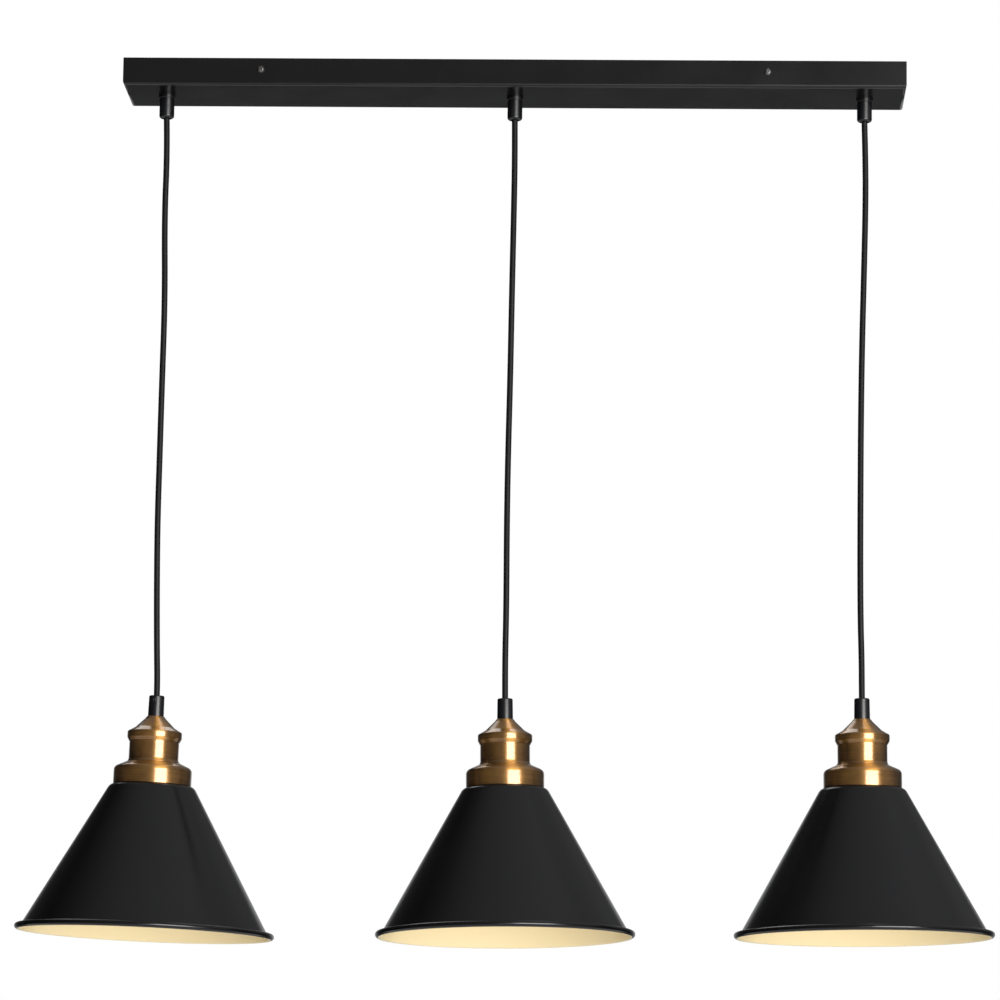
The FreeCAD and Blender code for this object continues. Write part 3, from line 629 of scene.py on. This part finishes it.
def fastener_tree():
    """Node tree that puts a copy of one fastener on each point, turned as the point says."""
    name = "Fasteners on points"
    if name in bpy.data.node_groups:
        return bpy.data.node_groups[name]
    sockets = {"Points": "Geometry", "Fastener": "Object", "Finish": "Material"}
    tree, given = new_tree(name, sockets)
    info = tree.nodes.new("GeometryNodeObjectInfo")
    tree.links.new(given["Fastener"], info.inputs["Object"])
    turn = add(tree, "FunctionNodeEulerToRotation", {0: carried(tree, "turn", "FLOAT_VECTOR")})
    copies = add(
        tree,
        "GeometryNodeInstanceOnPoints",
        {"Points": given["Points"], "Instance": info.outputs["Geometry"], "Rotation": turn},
    )
    return finished_tree(tree, copies, given["Finish"])


def fasteners(context, mesh, places, coat):
    """Copies of a fastener that points up. A place is a point and the three angles of its turn."""
    pattern = linked(context, "fastener", mesh)
    points = bpy.data.meshes.new("points")
    points.from_pydata([tuple(at) for at, _ in places], [], [])
    turns = points.attributes.new("turn", "FLOAT_VECTOR", "POINT")
    for i, (_, turn) in enumerate(places):
        turns.data[i].vector = turn
    values = {"Fastener": pattern, "Finish": finish(context, coat)}
    made = evaluated(context, points, fastener_tree(), values)
    bpy.data.objects.remove(pattern)
    return made


def slotted_screw(context, radius, length, head=0.0, head_height=0.0):
    """A slotted screw that points up. Its shank ends at height 0, bare or under a pan head."""
    corners = [(0.0, -length), (radius * 0.8, -length), (radius, -length + radius * 0.3)]
    if head:
        corners += [
            (radius, 0.0),
            (head, 0.0),
            (head * 0.97, head_height * 0.45, head_height * 0.3),
            (head * 0.62, head_height * 0.97, head_height * 0.6),
            (0.0, head_height),
        ]
    else:
        corners += [(radius, 0.0, radius * 0.12), (0.0, 0.0)]
    mesh = spun(context, outline(corners), segments=SCREW_SEGMENTS)
    blank = linked(context, "blank", mesh)
    tool = linked(context, "slot", bpy.data.meshes.new("slot"))
    cutter = bmesh.new()
    wide = 4 * max(head, radius)
    bar = Matrix.Diagonal((SLOT_WIDTH, wide, 2 * SLOT_DEPTH, 1.0))
    across_head = Matrix.Translation((0, 0, head_height)) @ bar
    bmesh.ops.create_cube(cutter, size=1.0, matrix=across_head)
    cutter.to_mesh(tool.data)
    cutter.free()
    cut = blank.modifiers.new("Slot", "BOOLEAN")
    cut.operation, cut.solver, cut.object = "DIFFERENCE", "EXACT", tool
    made = result_of(context, blank)
    for o in (blank, tool):
        bpy.data.objects.remove(o)
    return made


def settled(mesh, sharp_deg=SHARP_DEG, outward=True):
    """Joins a mesh up, turns its faces outward and shades it smooth up to a sharp angle."""
    shape = bmesh.new()
    shape.from_mesh(mesh)
    bmesh.ops.remove_doubles(shape, verts=shape.verts, dist=2e-6)
    loose = [edge for edge in shape.edges if not edge.link_faces]
    bmesh.ops.delete(shape, geom=loose, context="EDGES")
    if outward:
        bmesh.ops.recalc_face_normals(shape, faces=shape.faces)
    shape.to_mesh(mesh)
    shape.free()
    mesh.polygons.foreach_set("use_smooth", [True] * len(mesh.polygons))
    mesh.set_sharp_from_angle(angle=math.radians(sharp_deg))
    return mesh


def piece(context, name, shape, body, node):
    """Puts a finished shape in the scene: it rides on a body and stands for a node's solids."""
    made = linked(context, name, shape)
    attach(made, body)
    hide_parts(node)
    return made


def dressed_copy(context, node, coat):
    """A copy of a solid with its bends shaded round and its flat sides kept flat."""
    source = frame["nodes"][node]
    mesh = source.data.copy()
    mesh.materials.clear()
    mesh.materials.append(finish(context, coat))
    settled(mesh, outward=False)
    made = piece(context, f"{node}_dressed", mesh, source["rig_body"], node)
    made.modifiers.new("Flat sides", "WEIGHTED_NORMAL").keep_sharp = True


def gland_x(context, side):
    """How far along the bar a gland sits."""
    return (SIDES.index(side) - 1) * context.scene.bar_light_hanging.spacing


def route(context, side):
    """The points of a cable's route, from its hinge down."""
    start, level = gland_x(context, side), -context.scene.bar_light_hanging.hinge_depth
    return [(start + x / 1000, y / 1000, level - down / 1000) for x, y, down in ROUTES_MM[side]]


def cap_foot_height(context):
    """From the rim up to the foot of the cap."""
    holder, shade = context.scene.bar_light_holder, context.scene.bar_light_shade
    return shade.height + holder.collar_height + holder.sleeve_shown


def cap_top_height(context):
    """From the rim up to the top of the cap, where the grip stands."""
    return cap_foot_height(context) + context.scene.bar_light_holder.cap_height


def lamp_matrix(context, side):
    """From a lamp's own frame, with its rim at height 0, to where it hangs."""
    before, end = route(context, side)[-2:]
    along = Vector([b - a for a, b in zip(before, end)]).normalized()
    turn = Vector((0, 0, -1)).rotation_difference(along).to_matrix().to_4x4()
    in_grip = context.scene.bar_light_bushing.grip_length - context.scene.bar_light_hanging.held
    held = Vector((0, 0, cap_top_height(context) + in_grip))
    return Matrix.Translation(Vector(end) - turn @ held) @ turn


def lamp_piece(context, side, name, node, mesh, sharp_deg=SHARP_DEG):
    """Settles a mesh, moves it from a lamp's own frame to its place and makes it a piece."""
    settled(mesh, sharp_deg)
    mesh.transform(lamp_matrix(context, side))
    body = "bulb" if node.startswith("bulb") else "pendant"
    piece(context, f"{side}_{name}", mesh, f"{side}_{body}", f"{side}_{node}")


# The pieces


class BarLightCables(bpy.types.Operator):
    """Hangs the three cables"""

    bl_idname = "bar_light.cables"
    bl_label = "Cables"

    def execute(self, context):
        diameter = context.scene.bar_light_hanging.cable
        for side in SIDES:
            points = route(context, side)
            name, body, node = f"{side}_cable_sheath", f"{side}_pendant", f"{side}_cable"
            curve = bpy.data.curves.new(name, "CURVE")
            curve.dimensions = "3D"
            spline = curve.splines.new("NURBS")
            spline.points.add(len(points) - 1)
            for point, place in zip(spline.points, points):
                point.co = (*place, 1.0)
            spline.order_u = 3
            spline.use_endpoint_u = True
            spline.resolution_u = 12
            curve.bevel_depth = diameter / 2
            curve.bevel_resolution = 8
            curve.use_fill_caps = True
            curve.materials.append(finish(context, "cable_sheath"))
            cable = piece(context, name, curve, body, node)
            # The bend and the lead are shown as the solids that they are
            for inner in ("cable_flex", "lead"):
                for slot in frame["nodes"][f"{side}_{inner}"].material_slots:
                    slot.link = "OBJECT"
                    slot.material = finish(context, "cable_sheath")
        return {"FINISHED"}


class BarLightShades(bpy.types.Operator):
    """Spins the three shades, black outside and cream inside"""

    bl_idname = "bar_light.shades"
    bl_label = "Shades"

    def execute(self, context):
        shade = context.scene.bar_light_shade
        hole = context.scene.bar_light_holder.hole
        slope = math.atan2(shade.foot - shade.top, shade.height)
        inset = shade.sheet / math.cos(slope)
        under = shade.height - shade.sheet
        centre = Vector((shade.foot - inset + shade.curl / math.cos(slope), 0.0))
        first = math.pi + slope
        last = first + math.tau - shade.curl_open
        steps = 40

        def curl(radius):
            angles = [first + (last - first) * k / steps for k in range(steps + 1)]
            return [centre + radius * Vector((math.cos(a), math.sin(a))) for a in angles]

        inner_top = shade.foot + (shade.top - shade.foot) * under / shade.height - inset
        outside = [(hole, shade.height), (shade.top, shade.height, shade.shoulder)]
        inside = [(inner_top, under, shade.shoulder - shade.sheet), (hole, under)]
        near, far = curl(shade.curl - shade.sheet), curl(shade.curl)
        rounded = outline(outside + [tuple(near[0]), tuple(far[0])] + inside, FINE_STEP_DEG)
        where = min(range(len(rounded)), key=lambda i: (rounded[i] - near[0]).length)
        points = rounded[:where] + near + far[::-1] + rounded[where + 2 :]
        for side in SIDES:
            mesh = spun(context, points, "black_paint")
            mesh.materials.append(finish(context, "shade_inside"))
            settled(mesh)
            for face in mesh.polygons:
                middle = face.center
                radial = face.normal.x * middle.x + face.normal.y * middle.y
                # The black laps over the outer half of the curl, the enamel over the inner half
                within = math.hypot(middle.x, middle.y) < centre.x
                face.material_index = 1 if radial < 0 and face.normal.z < 0.2 and within else 0
            mesh.transform(lamp_matrix(context, side))
            name, node = f"{side}_shade_spun", f"{side}_shade"
            piece(context, name, mesh, f"{side}_pendant", node)
        return {"FINISHED"}


class BarLightHolders(bpy.types.Operator):
    """Spins the brass caps, sleeves and collars"""

    bl_idname = "bar_light.holders"
    bl_label = "Brass holders"

    def execute(self, context):
        size = context.scene.bar_light_holder
        wall = size.sheet
        collar_foot = context.scene.bar_light_shade.height
        collar_top = collar_foot + size.collar_height
        edge = collar_top - size.collar_slope
        thread = context.scene.bar_light_bushing.thread + CLEARANCE
        cap_foot = cap_foot_height(context)
        top = cap_foot + size.cap_height
        band = cap_foot + size.band_foot
        shoulder = top - size.shoulder_drop
        lip = size.sleeve + CLEARANCE
        outlines = {
            "collar": [
                (size.hole, collar_top),
                (size.collar_land, collar_top, 0.001),
                (size.collar, edge, size.collar_round),
                (size.collar, collar_foot),
                (size.collar - wall, collar_foot),
                (size.collar - wall, edge - wall / 2, size.collar_round - wall),
                (size.collar_land, collar_top - wall, 0.001),
                (size.hole, collar_top - wall),
            ],
            "sleeve": [
                (size.sleeve - wall, collar_top),
                (size.sleeve_foot, collar_top, 0.0002),
                (size.sleeve, collar_top + size.foot_height, 0.003),
                (size.sleeve, cap_foot + size.sleeve_hidden),
                (size.sleeve - wall, cap_foot + size.sleeve_hidden),
            ],
            "cap": [
                (thread, top),
                (size.cap_top, top, SOFT_EDGE),
                (size.neck, top - size.neck_drop, 0.0015),
                (size.knee, top - size.knee_drop, 0.006),
                (size.cap, shoulder, size.cap_round),
                (size.cap, band, size.cap_round),
                (lip + wall / 2, cap_foot),
                (lip, cap_foot),
                (size.cap - wall, band, size.cap_round - wall / 2),
                (size.cap - wall, shoulder - wall / 2, size.cap_round - wall / 2),
                (size.knee - wall / 2, top - size.knee_drop - wall),
                (size.neck - wall / 2, top - size.neck_drop - 1.5 * wall),
                (thread, top - size.neck_drop - 1.5 * wall),
            ],
        }
        for side in SIDES:
            for name, corners in outlines.items():
                mesh = spun(context, outline(corners, FINE_STEP_DEG), "brass")
                lamp_piece(context, side, f"{name}_spun", name, mesh)
        return {"FINISHED"}


class BarLightBushings(bpy.types.Operator):
    """Moulds the glands under the bar and the cord grips"""

    bl_idname = "bar_light.bushings"
    bl_label = "Glands and grips"

    def execute(self, context):
        size = context.scene.bar_light_bushing
        hanging = context.scene.bar_light_hanging
        foot = -size.gland_length
        bend = hanging.underside + size.gland_length - hanging.hinge_depth
        rise = bend + hanging.cable / 2
        gland = [
            (size.bore, size.gland_rise),
            (size.thread - CHAMFER, size.gland_rise),
            (size.thread, size.gland_rise - CHAMFER),
            (size.thread, 0.0),
            (size.gland_collar, 0.0),
            (size.gland_collar, -size.gland_collar_height, SOFT_EDGE),
            (size.gland_radius, -size.gland_collar_height),
            (size.gland_radius, foot, size.gland_round),
            (size.mouth, foot),
            (size.throat, foot + bend),
            (size.throat, foot + rise),
            (size.bore, foot + rise + size.throat - size.bore),
        ]
        top = cap_top_height(context)
        high = top + size.grip_length
        low = top - size.grip_drop
        grip = [
            (size.bore, low),
            (size.thread - CHAMFER, low),
            (size.thread, low + CHAMFER),
            (size.thread, top),
            (size.grip_foot, top),
            (size.grip_top, high, size.grip_round),
            (size.bore + SOFT_EDGE, high),
            (size.bore, high - SOFT_EDGE),
        ]
        row = size.pitch / 8

        def moulded(corners, foot, rise, threaded):
            points = divided(outline(corners), row, foot, rise)
            cut = (size.pitch, BUSHING_THREAD, threaded)
            return spun(context, points, "moulded_black", *cut, BUSHING_SEGMENTS)

        for side in SIDES:
            mesh = moulded(gland, 0.0, size.gland_rise, (CLEARANCE, size.gland_rise))
            settled(mesh, BLUNT_DEG)
            mesh.transform(Matrix.Translation((gland_x(context, side), 0, -hanging.underside)))
            name, node = f"{side}_gland_moulded", f"{side}_gland"
            piece(context, name, mesh, "canopy", node)
            mesh = moulded(grip, low, top, (low, top - CLEARANCE))
            lamp_piece(context, side, "grip_moulded", "grip", mesh, BLUNT_DEG)
        return {"FINISHED"}


class BarLightBulbs(bpy.types.Operator):
    """Blows the bulbs and rolls their screw caps"""

    bl_idname = "bar_light.bulbs"
    bl_label = "Bulbs"

    def execute(self, context):
        size = context.scene.bar_light_bulb
        foot = size.top - size.cap_length
        centre = size.top - size.length + size.globe
        throat = size.foot - 0.001
        lean = math.radians(38)

        def wall(inset):
            radius = size.globe - inset
            angles = [-math.pi / 2 + (math.pi / 2 + lean) * k / 32 for k in range(33)]
            made = [Vector((radius * math.cos(a), centre + radius * math.sin(a))) for a in angles]
            start, end = made[-1], Vector((size.throat - inset, throat))
            span = (end - start).length
            pull = start + Vector((-math.sin(lean), math.cos(lean))) * span * 0.45
            rise = end - Vector((0, span * 0.35))
            for k in range(1, 17):
                t = k / 16
                made.append(
                    start * (1 - t) ** 3
                    + pull * 3 * t * (1 - t) ** 2
                    + rise * 3 * t * t * (1 - t)
                    + end * t**3
                )
            return made

        # The glass steps in just below the cap's foot, and ends a little way up inside the cap
        step, end, within = foot - 0.0005, foot + 0.006, size.neck - size.wall
        outer = [(size.throat, foot - 0.001), (size.neck, step), (size.neck, end)]
        rim = [Vector(at) for at in outer + [(within, end), (within, step - size.wall)]]
        glass = wall(0.0) + rim + wall(size.wall)[::-1]
        inner = size.cap - size.cap_wall
        tip = size.top - size.tip_height
        cone = tip - size.cap_cone
        cap = [
            (0.0, size.top),
            (size.tip, size.top, 0.001),
            (size.tip, tip),
            (size.cap, cone, 0.001),
            (size.cap, foot),
            (inner - size.depth, foot),
            (inner - size.depth, cone - size.cap_wall),
            (size.tip, tip - size.cap_wall),
            (0.0, tip - size.cap_wall),
        ]
        cut = (size.pitch, size.depth, (foot + 0.002, cone - 0.0012))
        rolled = divided(outline(cap), size.pitch / 14, foot, cone)
        for side in SIDES:
            mesh = spun(context, glass, "bulb_glass", segments=BULB_SEGMENTS)
            lamp_piece(context, side, "bulb_blown", "bulb_glass", mesh, BLUNT_DEG)
            mesh = spun(context, rolled, "bulb_metal", *cut, BULB_SEGMENTS)
            lamp_piece(context, side, "bulb_cap_rolled", "bulb_cap", mesh, BLUNT_DEG)
            for inside in ("insert", "shade_ring"):
                dressed_copy(context, f"{side}_{inside}", "moulded_black")
            for inside in ("screw_shell", "contact"):
                dressed_copy(context, f"{side}_{inside}", "contact_brass")
        return {"FINISHED"}


class BarLightBar(bpy.types.Operator):
    """Dresses the bar, its bracket and its terminals"""

    bl_idname = "bar_light.bar"
    bl_label = "Bar and fittings"

    def execute(self, context):
        coats = {
            "housing": "black_paint",
            "bracket": "zinc_steel",
            "gland_nuts": "moulded_black",
            "terminal_block": "moulded_pale",
            "earth_stud": "zinc_steel",
            "earth_nut": "contact_brass",
        }
        for node, coat in coats.items():
            dressed_copy(context, node, coat)
        return {"FINISHED"}


class BarLightScrews(bpy.types.Operator):
    """Sets the screws in the bar, the glands, the grips and the terminals"""

    bl_idname = "bar_light.screws"
    bl_label = "Screws"

    def execute(self, context):
        self.side_screws(context)
        self.terminals(context)
        self.set_screws(context)
        return {"FINISHED"}

    def on_bar(self, context, node, screw, places, coat):
        """Copies of a screw on the bar, as the piece that stands for a node."""
        mesh = settled(fasteners(context, screw, places, coat))
        piece(context, f"{node}_slotted", mesh, "canopy", node)

    def side_screws(self, context):
        """The four screws through the bar's sides, with their slots this way and that."""
        low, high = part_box("housing")
        reach = (high.y - low.y) / 2
        screws_low, screws_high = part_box("fixing_screws")
        level = (screws_low.z + screws_high.z) / 2
        radius, length, head = 0.002, 0.008, 0.0032
        across = (screws_high.x - screws_low.x) / 2 - head
        screw = slotted_screw(context, radius, length, head, screws_high.y - reach)
        places = []
        for x in (-across, across):
            for side in (-1, 1):
                turn = Matrix.Rotation(-side * math.pi / 2, 3, "X")
                turn = turn @ Matrix.Rotation(math.radians(35 + 40 * side * (x > 0)), 3, "Z")
                places.append(((x, side * reach, level), turn.to_euler()))
        self.on_bar(context, "fixing_screws", screw, places, "screw_steel")

    def terminals(self, context):
        """The six brass screws of the terminal block, with their slots this way and that."""
        low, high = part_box("terminal_screws")
        radius, length = 0.0018, high.z - low.z
        screw = slotted_screw(context, radius, length)
        places = []
        for i in range(6):
            x = (low.x + radius, high.x - radius)[i % 2]
            y = low.y + radius + (high.y - low.y - 2 * radius) * (i // 2) / 2
            places.append(((x, y, high.z), (0, 0, math.radians(15 + 47 * i))))
        self.on_bar(context, "terminal_screws", screw, places, "contact_brass")

    def set_screws(self, context):
        """The slotted screws that hold the cables in the glands and in the grips."""
        size = context.scene.bar_light_bushing
        outer = size.gland_radius + SCREW_PROUD
        screw = slotted_screw(context, size.set_screw, outer - size.bore)
        level = -context.scene.bar_light_hanging.underside - size.gland_screw_drop
        back = Matrix.Rotation(-math.pi / 2, 3, "X").to_euler()
        places = [((gland_x(context, side), outer, level), back) for side in SIDES]
        self.on_bar(context, "gland_screws", screw, places, "screw_steel")
        level = cap_top_height(context) + size.grip_length - size.grip_screw_drop
        outer = size.grip_top + SCREW_PROUD
        for side, degrees in GRIP_SCREW_DEG.items():
            screw = slotted_screw(context, size.set_screw, outer - size.bore)
            away = Matrix.Rotation(math.radians(degrees), 3, "Z")
            turn = away @ Matrix.Rotation(math.pi / 2, 3, "X")
            at = away @ Vector((0, -outer, 0)) + Vector((0, 0, level))
            mesh = fasteners(context, screw, [(tuple(at), turn.to_euler())], "screw_steel")
            lamp_piece(context, side, "grip_screw_slotted", "grip_screw", mesh)


class BarLightStage(bpy.types.Operator):
    """Lays the floor, hangs the lights and sets the camera"""

    bl_idname = "bar_light.stage"
    bl_label = "Stage"

    def execute(self, context):
        scene = context.scene
        studio = scene.bar_light_studio
        floor = linked(context, "floor", bpy.data.meshes.new("floor"))
        reach, level = 10.0, -studio.floor_drop
        corners = [(x * reach, y * reach, level) for x, y in ((-1, -1), (1, -1), (1, 1), (-1, 1))]
        floor.data.from_pydata(corners, [], [(0, 1, 2, 3)])
        lit = {"Emission_Color": (1, 1, 1, 1), "Emission_Strength": 0.45}
        paper = new_finish("Studio paper", linear("#e9e9e7"), 0.8, ((400,), 0.05, 0.3), **lit)
        floor.data.materials.append(paper)
        # Name, azimuth, elevation, distance, width, height, radiance and tint
        lights = (
            ("key_softbox", 28, 0, 6, 3.9, 2.6, studio.key_power, "#fffdfb"),
            ("low_softbox", 26, -20, 3.4, 3.6, 0.5, 6, "#eef4ff"),
            ("rear_top_softbox", 139, 73, 2.4, 0.5, 0.5, 2, "#ffffff"),
            ("back_softbox", 196, 46, 3.2, 2.2, 1.4, 2, "#ffffff"),
        )
        middle = Vector((0, 0, -0.4))
        for name, azimuth, elevation, distance, width, height, radiance, tint in lights:
            lamp = bpy.data.lights.new(name, "AREA")
            lamp.shape = "RECTANGLE"
            lamp.size, lamp.size_y = width, height
            lamp.energy = radiance * math.pi * width * height
            lamp.color = linear(tint)
            made = linked(context, name, lamp)
            a, e = math.radians(azimuth), math.radians(elevation)
            away = Vector((math.sin(a) * math.cos(e), -math.cos(a) * math.cos(e), math.sin(e)))
            made.location = middle + away * distance
            made.rotation_euler = away.to_track_quat("Z", "Y").to_euler()
        self.surround(scene)
        self.camera(context)
        scene.view_settings.view_transform = "Standard"
        return {"FINISHED"}

    def surround(self, scene):
        """A pale room: white where it is seen, and dim on the left where it is only reflected."""
        world = bpy.data.worlds.new("Studio")
        scene.world = world
        world.use_nodes = True
        tree = world.node_tree
        tree.nodes.clear()
        way = tree.nodes.new("ShaderNodeSeparateXYZ")
        tree.links.new(tree.nodes.new("ShaderNodeTexCoord").outputs["Generated"], way.inputs[0])
        right = spread(tree, way.outputs["X"], 0.1, 0.3, -0.85, -0.3)
        front = spread(tree, way.outputs["Y"], 1.0, 0.2, -0.1, 0.35)
        walls = math_node(tree, "MULTIPLY", right, front)
        behind = spread(tree, way.outputs["Y"], 0.0, 0.7, 0.88, 0.99)
        above = spread(tree, way.outputs["Z"], 0.05, 1.0, -0.2, 0.0)
        walls = math_node(tree, "MULTIPLY", math_node(tree, "ADD", walls, behind), above)
        # The ceiling glows from the middle to the right
        lean = math_node(tree, "MULTIPLY_ADD", way.outputs["X"], 0.5, way.outputs["Z"])
        level = math_node(tree, "ADD", walls, spread(tree, lean, 0.0, 0.42, 0.45, 1.2))
        room = add(tree, "ShaderNodeBackground", {"Strength": level, "Color": (0.97, 0.98, 1, 1)})
        white = add(tree, "ShaderNodeBackground", {"Color": (1, 1, 1, 1)})
        seen = tree.nodes.new("ShaderNodeLightPath").outputs["Is Camera Ray"]
        mix = add(tree, "ShaderNodeMixShader", {0: seen, 1: room, 2: white})
        tree.links.new(mix, tree.nodes.new("ShaderNodeOutputWorld").inputs["Surface"])

    def camera(self, context):
        """Stands where the light was seen from: below it, and a long way in front."""
        lens = bpy.data.cameras.new("Camera")
        lens.sensor_width = 36.0
        lens.lens = 186.66
        lens.clip_end = 100.0
        pitch, roll, yaw = math.radians(9.75), math.radians(0.77), math.radians(-1.91)
        aim = Matrix.Rotation(-yaw, 4, "Z") @ Matrix.Rotation(math.pi / 2 + pitch, 4, "X")
        aim = aim @ Matrix.Rotation(roll, 4, "Z")
        made = linked(context, "Camera", lens)
        made.matrix_world = Matrix.Translation((0.1385, -4.4072, -1.1389)) @ aim
        context.scene.camera = made


OPERATORS = (
    BarLightStage,
    BarLightCables,
    BarLightBar,
    BarLightShades,
    BarLightHolders,
    BarLightBushings,
    BarLightBulbs,
    BarLightScrews,
)
GROUPS = {
    "bar_light_hanging": HangingSizes,
    "bar_light_bushing": BushingSizes,
    "bar_light_holder": HolderSizes,
    "bar_light_shade": ShadeSizes,
    "bar_light_bulb": BulbSizes,
    "bar_light_colours": FinishColours,
    "bar_light_studio": StudioSettings,
}


class BarLightPanel(bpy.types.Panel):
    """Lists the steps that make the light, and their sizes"""

    bl_idname = "VIEW3D_PT_bar_light"
    bl_label = "Bar light"
    bl_space_type = "VIEW_3D"
    bl_region_type = "UI"
    bl_category = "Bar light"

    def draw(self, context):
        for operator in OPERATORS:
            self.layout.operator(operator.bl_idname)
        for name, group in GROUPS.items():
            box = self.layout.box()
            box.label(text=group.__doc__)
            for prop in group.__annotations__:
                label = prop.replace("_", " ").capitalize()
                box.prop(getattr(context.scene, name), prop, text=label)


def register():
    for group in GROUPS.values():
        bpy.utils.register_class(group)
    for name, group in GROUPS.items():
        setattr(bpy.types.Scene, name, PointerProperty(type=group))
    for cls in (*OPERATORS, BarLightPanel):
        bpy.utils.register_class(cls)


def unregister():
    for cls in (BarLightPanel, *reversed(OPERATORS)):
        bpy.utils.unregister_class(cls)
    for name, group in GROUPS.items():
        delattr(bpy.types.Scene, name)
        bpy.utils.unregister_class(group)


def main():
    register()
    for operator in OPERATORS:
        family, name = operator.bl_idname.split(".")
        getattr(getattr(bpy.ops, family), name)()


if __name__ == "__main__":
    main()
